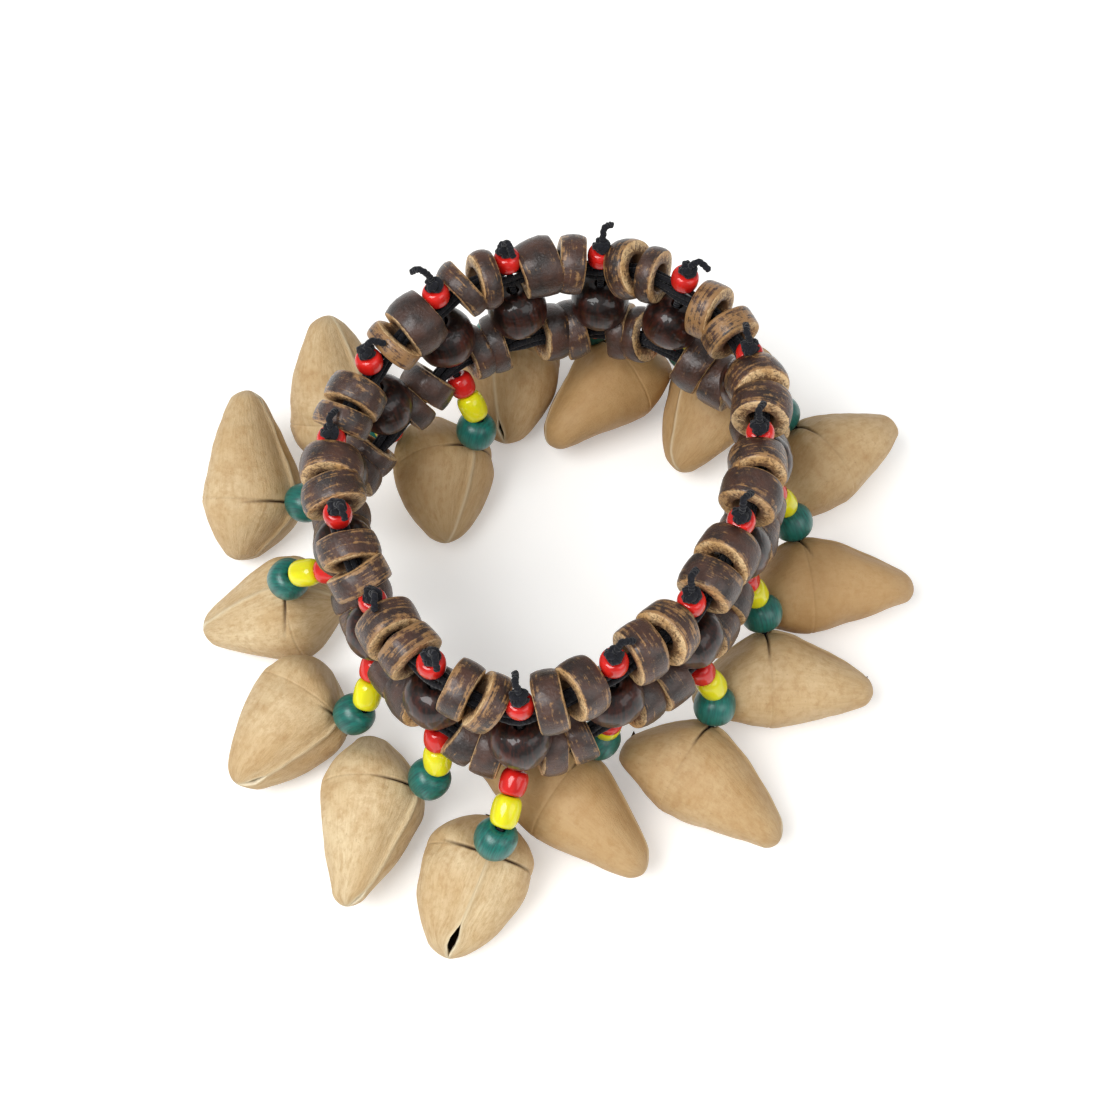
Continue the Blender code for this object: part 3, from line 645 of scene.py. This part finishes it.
def makeNutshell(number, strand):
    rng = random.Random(100 + number)
    points, grain, marks = shellSurface(number, strand, rng)
    points = addLumps(points, number)
    openSeam(points, number, rng)
    faces, used = shellFaces(points, number)
    local = points.reshape(-1, 3)[used]
    world = local @ np.array(strand["rotation"].transposed()) + np.array(strand["hole"])
    world[:, 2] = np.maximum(world[:, 2], 0.02 * mm)
    shift = np.array([40.0 * number, 0.0, 7.0 * number])
    part = (world, faces, 0, grain.reshape(-1, 3)[used] / mm + shift, marks.reshape(-1, 3)[used])
    piece = addPiece(f"nutshell{number:02d}", [part],
                     [finishes["nutshell"], finishes["inside"], finishes["brokenEdge"]],
                     [f"nutshell_{number:02d}"])
    wall = piece.modifiers.new("Wall", "SOLIDIFY")
    wall.thickness = shell["wall"]
    wall.offset = -1.0
    wall.material_offset = 1
    wall.material_offset_rim = 2


for number, strand in enumerate(strands, 1):
    makeNutshell(number, strand)
print("nutshells made")


def turnedPart(profile, segments, center, axis, material, grainShift, marksOf=None, wobble=0.0, seed=0):
    # A closed profile of (radius, height) turned about an axis; grain is its own place in mm.
    rows = segments
    columns = len(profile)
    frameTurn = np.array(axis.to_track_quat("Z", "Y").to_matrix())
    angles = 2 * math.pi * np.arange(rows) / rows
    radii = np.array([p[0] for p in profile])
    heights = np.array([p[1] for p in profile])
    local = np.stack([np.cos(angles)[:, None] * radii, np.sin(angles)[:, None] * radii,
                      np.ones(rows)[:, None] * heights], 2).reshape(-1, 3)
    if wobble:
        bumpy = latticeNoise(local, 6 * mm, seed) * wobble
        local = local * (1.0 + bumpy / np.maximum(np.linalg.norm(local, axis=1), mm))[:, None]
    world = local @ frameTurn.T + np.array(center)
    marks = np.zeros((rows * columns, 3))
    if marksOf is not None:
        marks = np.tile(np.array([marksOf(i) for i in range(columns)]), (rows, 1))
    faces = gridFaces(rows, columns, closedAround=True, closedAlong=True)
    return world, faces, material, local / mm + np.array(grainShift), marks


def beadProfile(radius, length, hole, fullness, land):
    # From the hole's top round the outside and back up the hole; land is the flat round the hole.
    half = 0.5 * length
    points = [(hole, half - 0.12 * mm), (hole + 0.12 * mm, half)]
    start = math.acos(min(1.0, 1.0 - land))
    for step in range(15):
        angle = start + (math.pi - 2 * start) * step / 14
        side = abs(math.sin(angle)) ** (2 / fullness)
        up = math.copysign(abs(math.cos(angle)) ** (2 / fullness), math.cos(angle))
        points.append((hole + 0.25 * mm + (radius - hole - 0.25 * mm) * side, half * up))
    points += [(hole + 0.12 * mm, -half), (hole, -half + 0.12 * mm), (hole, 0.0)]
    return points


def makeWoodBead(number, strand):
    axis = (strand["upper"] - strand["lower"]).normalized()
    center = 0.5 * (strand["upper"] + strand["lower"])
    profile = beadProfile(bead["woodRadius"], bead["woodLength"], 1.0 * mm, 2.15, 0.03)
    heights = [p[1] for p in profile]
    lowest, highest = min(heights), max(heights)

    # painted glow: the marks grow towards the bead's lower end and turn it red-brown there
    def lowerEndGlowMarks(i):
        return (0.3 * (1.0 - (heights[i] - lowest) / (highest - lowest)), 0.0, 0.0)

    part = turnedPart(profile, bead["segments"], center, axis, 0, (30.0 * number, 3.0 * number, 0.0),
                      lowerEndGlowMarks, 0.11 * mm, 200 + number)
    addPiece(f"woodBead{number:02d}", [part], [finishes["lacquer"]],
             [f"wood_bead_{number:02d}"])


for number, strand in enumerate(strands, 1):
    makeWoodBead(number, strand)
print("wood beads made")


def tube(path, radius, sides, material, grainShift, closed=False, plies=0, plyDepth=0.0, pitch=3.0 * mm,
         taper=0.0):
    # A cord along a path of points, with twisted plies in its surface where plies is set.
    points = np.array([list(p) for p in path], float)
    count = len(points)
    following = np.roll(points, -1, 0) if closed else np.concatenate([points[1:], points[-1:]])
    before = np.roll(points, 1, 0) if closed else np.concatenate([points[:1], points[:-1]])
    tangents = following - before
    tangents /= np.maximum(np.linalg.norm(tangents, axis=1), 1e-12)[:, None]
    reference = Vector(tangents[0]).orthogonal().normalized()
    sideways = []
    for i in range(count):
        along = Vector(tangents[i])
        reference = (reference - along * reference.dot(along)).normalized()
        sideways.append(list(reference))
    sideways = np.array(sideways)
    second = np.cross(tangents, sideways)
    steps = np.linalg.norm(np.roll(points, -1, 0) - points, axis=1)
    distance = np.concatenate([[0.0], np.cumsum(steps)[:-1]])
    angles = 2 * math.pi * np.arange(sides) / sides
    spin = 2 * math.pi * distance / pitch
    ply = np.ones((count, sides))
    if plies:
        ply = 1.0 + plyDepth * np.cos(plies * (angles[None, :] + spin[:, None]))
    ends = np.ones(count)
    if taper and not closed:
        ends[0] = ends[-1] = taper
    radii = radius * ply * ends[:, None]
    world = points[:, None, :] + radii[..., None] * (np.cos(angles)[None, :, None] * sideways[:, None, :]
                                                     + np.sin(angles)[None, :, None] * second[:, None, :])
    faces = [tuple(reversed(face)) for face in gridFaces(count, sides, True, closed)]
    if not closed:
        faces.append(tuple(range(sides - 1, -1, -1)))
        faces.append(tuple(range((count - 1) * sides, count * sides)))
    grain = np.stack([np.broadcast_to(np.cos(angles) * radius / mm, (count, sides)),
                      np.broadcast_to(np.sin(angles) * radius / mm, (count, sides)),
                      np.broadcast_to(distance[:, None] / mm, (count, sides))], 2).reshape(-1, 3)
    return world.reshape(-1, 3), faces, material, grain + np.array(grainShift), np.zeros((count * sides, 3))


def smoothRoute(points, steps):
    # Catmull-Rom curve through the points, ends kept.
    padded = [points[0] * 2 - points[1], *points, points[-1] * 2 - points[-2]]
    route = []
    for a, b, c, d in zip(padded, padded[1:], padded[2:], padded[3:]):
        for step in range(steps):
            t = step / steps
            route.append(0.5 * ((2 * b) + (c - a) * t + (2 * a - 5 * b + 4 * c - d) * t ** 2
                                + (3 * b - a - 3 * c + d) * t ** 3))
    route.append(points[-1])
    return route


def knotRoute(center, axis, size, turn):
    # An overhand knot pulled tight: a small trefoil round the cord.
    first = axis.orthogonal().normalized()
    first = Matrix.Rotation(turn, 3, axis) @ first
    second = axis.cross(first)
    route = []
    for step in range(48):
        t = 2 * math.pi * step / 48
        ringR = size * (0.62 + 0.3 * math.cos(3 * t))
        route.append(center + first * ringR * math.cos(2 * t) + second * ringR * math.sin(2 * t)
                     + axis * size * 0.42 * math.sin(3 * t))
    return route


def seatGreenBead(strand):
    # The green bead sits in the dimple at the cord hole, leaning to where the cord goes on.
    slope = (strand["lower"] - strand["foot"]).normalized()
    outward = strand["outward"]
    axis = (0.5 * slope + 0.5 * outward).normalized()
    lean = math.acos(max(-1.0, min(1.0, axis.dot(outward))))
    shoulder = 1.6 * layout["beadShoulder"] * bead["greenLength"]
    raised = max(0.0, bead["greenRadius"] * math.sin(lean) - shoulder)
    bottom = strand["hole"] + outward * (0.3 * mm + raised)
    free = (strand["lower"] - bottom - axis * bead["greenLength"]).length - elastic["radius"]
    slack = max(0.0, free - bead["stretch"] * (bead["redLength"] + bead["yellowLength"]))
    bottom = bottom + axis * 0.6 * slack
    return bottom, bottom + axis * bead["greenLength"], axis


cord = {
    "radius": 0.55 * mm, "sides": 12, "plies": 3, "plyDepth": 0.13, "pitch": 2.6 * mm,
    "knotLength": 2.8 * mm, "knotSize": 1.12 * mm, "innerKnotSize": 1.2 * mm, "innerKnotSides": 8,
    # the cut end above a knot: up, out and sideways in mm
    "tail": ((0.0, 0.0, 0.0), (1.6, 0.4, 0.0), (2.7, 1.3, 0.3), (2.4, 2.4, 0.1), (1.5, 3.4, 0.0)),
}
# which way the cut end of each knot points, in degrees from +X
tailHeadings = (-60, 165, 10, 75, -60, -80, -70, 100, 30, 75, 60, 75, 100, -20, 60)


def makeStrandCord(number, strand):
    rng = random.Random(300 + number)
    up = (strand["upper"] - strand["lower"]).normalized()
    top = strand["upper"] + up * (elastic["radius"] + layout["gap"] + bead["redLength"])
    knot = top + up * 0.3 * cord["knotLength"]
    heading = math.radians(tailHeadings[number - 1])
    out = Vector((math.cos(heading), math.sin(heading), 0.0))
    side = up.cross(out)
    rise = rng.uniform(0.7, 1.3) * up
    tail = [knot + (rise * high + out * far + side * aside) * mm for high, far, aside in cord["tail"]]
    outward = strand["outward"]
    inner = strand["inside"] - outward * 0.5 * cord["knotLength"]
    greenLow, greenTop, _ = seatGreenBead(strand)
    main = [knot, top, strand["upper"], strand["lower"], greenTop, greenLow, strand["inside"], inner]
    shift = (0.0, 0.0, 50.0 * number)
    style = {"plies": cord["plies"], "plyDepth": cord["plyDepth"], "pitch": cord["pitch"]}
    sides = cord["sides"]
    outerKnot = knotRoute(knot, up, cord["knotSize"], rng.uniform(0, 6))
    innerKnot = knotRoute(inner, outward, cord["innerKnotSize"], rng.uniform(0, 6))
    parts = [tube(smoothRoute(main, 8), cord["radius"], sides, 0, shift, **style),
             tube(smoothRoute(tail, 7), 0.95 * cord["radius"], sides, 0, shift, taper=0.6, **style),
             tube(outerKnot, 1.12 * cord["radius"], sides, 0, shift, closed=True, **style),
             tube(innerKnot, 0.9 * cord["radius"], cord["innerKnotSides"], 0, shift, closed=True)]
    addPiece(f"strandCord{number:02d}", parts, [finishes["cotton"]],
             [f"bead_string_{number:02d}"])


def makeStrandBeads(number, strand):
    # the other beads fill the cord above the green one
    up = (strand["upper"] - strand["lower"]).normalized()
    greenLow, greenTop, seated = seatGreenBead(strand)
    room = strand["lower"] - greenTop
    down = room.normalized()
    free = room.length - elastic["radius"] + 0.1 * mm
    stretch = max(0.95, min(bead["stretch"], free / (bead["redLength"] + bead["yellowLength"])))
    redLength = bead["redLength"] * stretch
    yellowLength = bead["yellowLength"] * stretch
    red = beadProfile(bead["redRadius"], bead["redLength"], bead["hole"], 2.6, 0.04)
    redBelow = beadProfile(bead["redRadius"], redLength, bead["hole"], 2.6, 0.04)
    yellow = beadProfile(bead["yellowRadius"], yellowLength, bead["hole"], 2.6, 0.04)
    green = beadProfile(bead["greenRadius"], bead["greenLength"], 1.0 * mm, 2.1, 0.05)
    redTop = strand["upper"] + up * (elastic["radius"] + layout["gap"] + 0.5 * bead["redLength"])
    yellowAt = greenTop + down * 0.5 * yellowLength
    redLow = greenTop + down * (yellowLength + 0.5 * redLength)
    shift = (9.0 * number, 0.0, 0.0)
    greenAt = 0.5 * (greenLow + greenTop)
    segments = bead["smallSegments"]
    parts = [turnedPart(red, segments, redTop, up, 0, shift, None, 0.05 * mm, number),
             turnedPart(redBelow, segments, redLow, down, 0, shift, None, 0.05 * mm, 20 + number),
             turnedPart(yellow, segments, yellowAt, down, 1, shift, None, 0.06 * mm, 40 + number),
             turnedPart(green, bead["segments"], greenAt, seated, 2, shift, None, 0.08 * mm, 60 + number)]
    addPiece(f"strandBeads{number:02d}", parts, [finishes["red"], finishes["yellow"], finishes["green"]],
             [f"bead_string_{number:02d}"])


for number, strand in enumerate(strands, 1):
    makeStrandCord(number, strand)
    makeStrandBeads(number, strand)
print("cords and small beads made")


def loopPoint(points, position, bowSign):
    # Point on a smooth closed curve through the strands, bowed between them.
    count = len(points)
    index = int(math.floor(position)) % count
    t = position - math.floor(position)
    a, b, c, d = (points[(index + k) % count] for k in (-1, 0, 1, 2))
    smooth = 0.5 * ((2 * b) + (c - a) * t + (2 * a - 5 * b + 4 * c - d) * t ** 2
                    + (3 * b - a - 3 * c + d) * t ** 3)
    bow = layout["bow"][0] if bowSign > 0 else layout["bow"][1]
    smooth.z += bowSign * bow * math.sin(math.pi * t) ** 2
    return smooth


def makeElastic(label, points, bowSign):
    count = len(points) * elastic["steps"]
    center = [loopPoint(points, i / elastic["steps"], bowSign) for i in range(count)]
    parts = []
    for thread in range(elastic["threads"]):
        route = []
        for i in range(count):
            along = (center[(i + 1) % count] - center[i - 1]).normalized()
            across = along.cross(Vector((0.0, 0.0, 1.0))).normalized()
            upward = across.cross(along)
            position = i / elastic["steps"]
            angle = 2 * math.pi * (thread / elastic["threads"] + elastic["turns"] * position / len(points))
            nearCrossing = math.cos(math.pi * (position - math.floor(position))) ** 8
            spread = elastic["threadSpread"] + elastic["crossingSpread"] * nearCrossing
            route.append(center[i] + (across * math.cos(angle) + upward * math.sin(angle)) * spread)
        parts.append(tube(route, elastic["threadRadius"], elastic["sides"], 0, (0.0, 9.0 * thread, 0.0),
                          closed=True))
    addPiece(f"{label}Elastic", parts, [finishes["braid"]],
             [f"{label}_elastic_with_coconut_rings"])


ring = {
    "radius": 4.85 * mm, "bore": 2.35 * mm, "spacing": 0.3 * mm, "standoff": 2.7 * mm,
    "thickest": 6.2 * mm, "thinnest": 2.6 * mm, "segments": 56,
    "push": {"upper": (0.0, 0.0, 1.0), "lower": (0.0, 1.0, 0.4)},   # side on which the rings lie
}
# upper loop, two rings for each span: thickness share, lean and turn in degrees, paleness, crown
upperRings = (
    (0.85, -9, 4, 0.0, 0.3), (0.85, 10, -4, 0.02, 0.3), (1.25, -6, 0, -0.1, 0.5), (0.6, 12, 8, 0.22, 0.1),
    (1.0, -8, -6, 0.02, 0.2), (0.85, 10, 5, 0.04, 0.2), (1.0, -9, 5, 0.02, 0.3), (0.9, 10, -5, 0.06, 0.2),
    (0.95, -7, 4, 0.06, 0.2), (0.9, 8, -6, 0.08, 0.1), (0.95, -9, 4, 0.06, 0.2), (0.8, 8, 4, 0.1, 0.1),
    (0.9, -10, -6, 0.04, 0.2), (0.8, 10, 5, 0.1, 0.2), (0.9, -7, 6, 0.0, 0.3), (0.95, 9, -4, 0.02, 0.3),
    (0.95, -10, 5, 0.04, 0.3), (0.8, 8, -6, 0.1, 0.1), (1.0, -8, -5, 0.04, 0.3), (0.9, 9, 6, 0.0, 0.2),
    (0.9, -9, 4, 0.0, 0.2), (0.95, 7, -6, 0.06, 0.2), (0.9, -8, 5, 0.02, 0.2), (1.0, 10, -4, 0.06, 0.3),
    (0.7, -16, 6, 0.16, 0.1), (0.7, 15, -5, 0.18, 0.1), (0.65, -12, -6, 0.0, 0.2), (0.85, 14, 5, 0.06, 0.3),
    (0.85, -9, 6, 0.04, 0.3), (1.3, 6, -4, -0.06, 0.6),
)


def ringProfile(radius, bore, thickness, crown):
    half = 0.5 * thickness
    soft = min(0.35 * mm, 0.2 * thickness)
    radius -= 0.5 * crown
    rim = radius - 0.3 * soft
    return [(bore + 0.15 * mm, half), (0.5 * (bore + radius), half + 0.03 * mm), (radius - soft, half),
            (rim, half - 0.3 * soft), (radius, half - soft), (radius + 0.7 * crown, 0.5 * half),
            (radius + crown, 0.0), (radius + 0.7 * crown, -0.5 * half), (radius, -half + soft),
            (rim, -half + 0.3 * soft), (radius - soft, -half), (0.5 * (bore + radius), -half - 0.03 * mm),
            (bore + 0.15 * mm, -half), (bore, -half + 0.15 * mm), (bore, 0.0), (bore, half - 0.15 * mm)]


# dark skin, nearness of the bore and wear at each point of that profile
ringSkinMarks = ((0.0, 0.8, 0.0), (0.0, 0.35, 0.0), (0.1, 0.1, 0.25), (0.6, 0.0, 0.18), (0.8, 0.0, 0.08),
                 (1.0, 0.0, 0.0), (1.0, 0.0, 0.0), (1.0, 0.0, 0.0), (0.8, 0.0, 0.08), (0.6, 0.0, 0.18),
                 (0.1, 0.1, 0.25), (0.0, 0.35, 0.0), (0.0, 0.8, 0.0), (0.0, 1.0, 0.0), (0.0, 1.0, 0.0),
                 (0.0, 1.0, 0.0))


def makeRings(label, points, bowSign, styles):
    hang = ring["bore"] - elastic["radius"]
    count = 2 * len(points)
    route = [loopPoint(points, i / 2, bowSign) for i in range(count)]
    parts = []
    for span in range(len(points)):
        chord = (points[(span + 1) % len(points)] - points[span]).length
        room = 0.5 * (chord - 2 * ring["standoff"] - ring["spacing"])
        allowed = max(ring["thinnest"], min(ring["thickest"], room))
        crest = 2 * span + 1
        for side in (-1, 1):
            share, lean, turn, paleness, crown = styles[2 * span + (side > 0)]
            thickness = allowed * share
            tangent = (route[(crest + side) % count] - route[crest]).normalized()
            center = route[crest] + tangent * 0.5 * (allowed * 0.5 * (1.0 + share) + ring["spacing"])
            down = Vector((0.0, 0.0, -1.0))
            down = (down - tangent * down.dot(tangent)).normalized()
            push = Vector(ring["push"][label])
            push = (push - tangent * push.dot(tangent)).normalized() * hang
            across = tangent.cross(down)
            leaned = Matrix.Rotation(math.radians(lean), 3, across) @ tangent
            leaned = Matrix.Rotation(math.radians(turn), 3, down) @ leaned
            seed = 500 + 10 * span + side + (0 if label == "upper" else 300)
            size = random.Random(seed).uniform(0.95, 1.03)

            def skinMarks(i, paleness=paleness):
                skin, bore, worn = ringSkinMarks[i]
                return (skin, bore, worn + paleness)

            profile = ringProfile(ring["radius"] * size, ring["bore"], thickness, crown * mm)
            parts.append(turnedPart(profile, ring["segments"], center + push, leaned, 0,
                                    (seed * 3.0, seed * 1.7, seed * 0.9), skinMarks, 0.16 * mm, seed))
    addPiece(f"{label}CoconutRings", parts, [finishes["coconut"]],
             [f"{label}_elastic_with_coconut_rings"])


lowerRandom = random.Random(11)
lowerRings = [(lowerRandom.uniform(0.8, 1.0), lowerRandom.uniform(5, 10) * (-1 if i % 2 == 0 else 1),
               lowerRandom.uniform(-6, 6), lowerRandom.uniform(-0.08, 0.03), 0.2)
              for i in range(2 * len(strands))]
for label, sign, styles in (("upper", 1, upperRings), ("lower", -1, lowerRings)):
    crossings = [strand[label] for strand in strands]
    makeElastic(label, crossings, sign)
    makeRings(label, crossings, sign, styles)
print("elastics and coconut rings made")

studio = {
    "floorSize": 4.0, "floorColor": "#F4F4F2", "floorGlow": 0.28, "worldStrength": 0.45,
    "keyPower": 6.0, "keySize": 0.5, "keyPlace": (-0.35, -0.25, 0.75),
    "fillPower": 2.0, "fillSize": 0.6, "fillPlace": (0.55, -0.35, 0.55),
    "elevation": 63.5, "distance": 0.340, "focalPixels": 2006.0, "photoPixels": 1100.0, "sensor": 36.0,
}


def makeFloor():
    half = 0.5 * studio["floorSize"]
    mesh = bpy.data.meshes.new("paleFloor")
    corners = [(-half, -half, 0), (half, -half, 0), (half, half, 0), (-half, half, 0)]
    mesh.from_pydata(corners, [], [(0, 1, 2, 3)])
    material = bpy.data.materials.new("paleSweep")
    material.use_nodes = True
    tree = material.node_tree
    tree.nodes.clear()
    rays = addNode(tree, "LightPath")
    seen = addNode(tree, "Math", {0: rays.outputs["Is Camera Ray"], 1: rays.outputs["Is Glossy Ray"]},
                   operation="MAXIMUM")
    seen = addNode(tree, "Math", {0: seen.outputs[0], 1: rays.outputs["Is Transmission Ray"]},
                   operation="MAXIMUM")
    glow = addNode(tree, "Math", {0: seen.outputs[0], 1: studio["floorGlow"]}, operation="MULTIPLY")
    diffuse = addNode(tree, "BsdfDiffuse", {"Color": hexColor(studio["floorColor"])})
    emission = addNode(tree, "Emission", {"Color": (1, 1, 1, 1), "Strength": glow.outputs[0]})
    total = addNode(tree, "AddShader", {0: diffuse.outputs[0], 1: emission.outputs[0]})
    addNode(tree, "OutputMaterial", {"Surface": total.outputs[0]})
    mesh.materials.append(material)
    floor = bpy.data.objects.new("paleFloor", mesh)
    bpy.context.scene.collection.objects.link(floor)


def makeLamp(name, power, size, place, target):
    lamp = bpy.data.lights.new(name, "AREA")
    lamp.energy = power
    lamp.size = size
    obj = bpy.data.objects.new(name, lamp)
    obj.location = place
    obj.rotation_euler = (target - Vector(place)).to_track_quat("-Z", "Y").to_euler()
    bpy.context.scene.collection.objects.link(obj)


def makeWorld():
    world = bpy.data.worlds.new("softRoom")
    bpy.context.scene.world = world
    world.use_nodes = True
    tree = world.node_tree
    tree.nodes.clear()
    rays = addNode(tree, "LightPath")
    strength = addNode(tree, "MapRange", {0: rays.outputs["Is Camera Ray"], 3: studio["worldStrength"],
                                          4: 1.0})
    background = addNode(tree, "Background", {"Color": (1, 1, 1, 1), "Strength": strength.outputs[0]})
    addNode(tree, "OutputWorld", {"Surface": background.outputs[0]})


def makeCamera(target):
    camera = bpy.data.cameras.new("photoCamera")
    camera.sensor_width = studio["sensor"]
    camera.lens = studio["focalPixels"] / studio["photoPixels"] * studio["sensor"]
    camera.clip_start = 0.01
    elevation = math.radians(studio["elevation"])
    back = Vector((0.0, -math.cos(elevation), math.sin(elevation)))
    obj = bpy.data.objects.new("photoCamera", camera)
    obj.location = target + back * studio["distance"]
    obj.rotation_euler = back.to_track_quat("Z", "Y").to_euler()
    bpy.context.scene.collection.objects.link(obj)
    bpy.context.scene.camera = obj


target = Vector(layout["cameraTarget"]) - middle
makeFloor()
makeLamp("keyLamp", studio["keyPower"], studio["keySize"], studio["keyPlace"], target)
makeLamp("fillLamp", studio["fillPower"], studio["fillSize"], studio["fillPlace"], target)
makeWorld()
makeCamera(target)
bpy.context.scene.view_settings.view_transform = "Standard"
print("studio made")
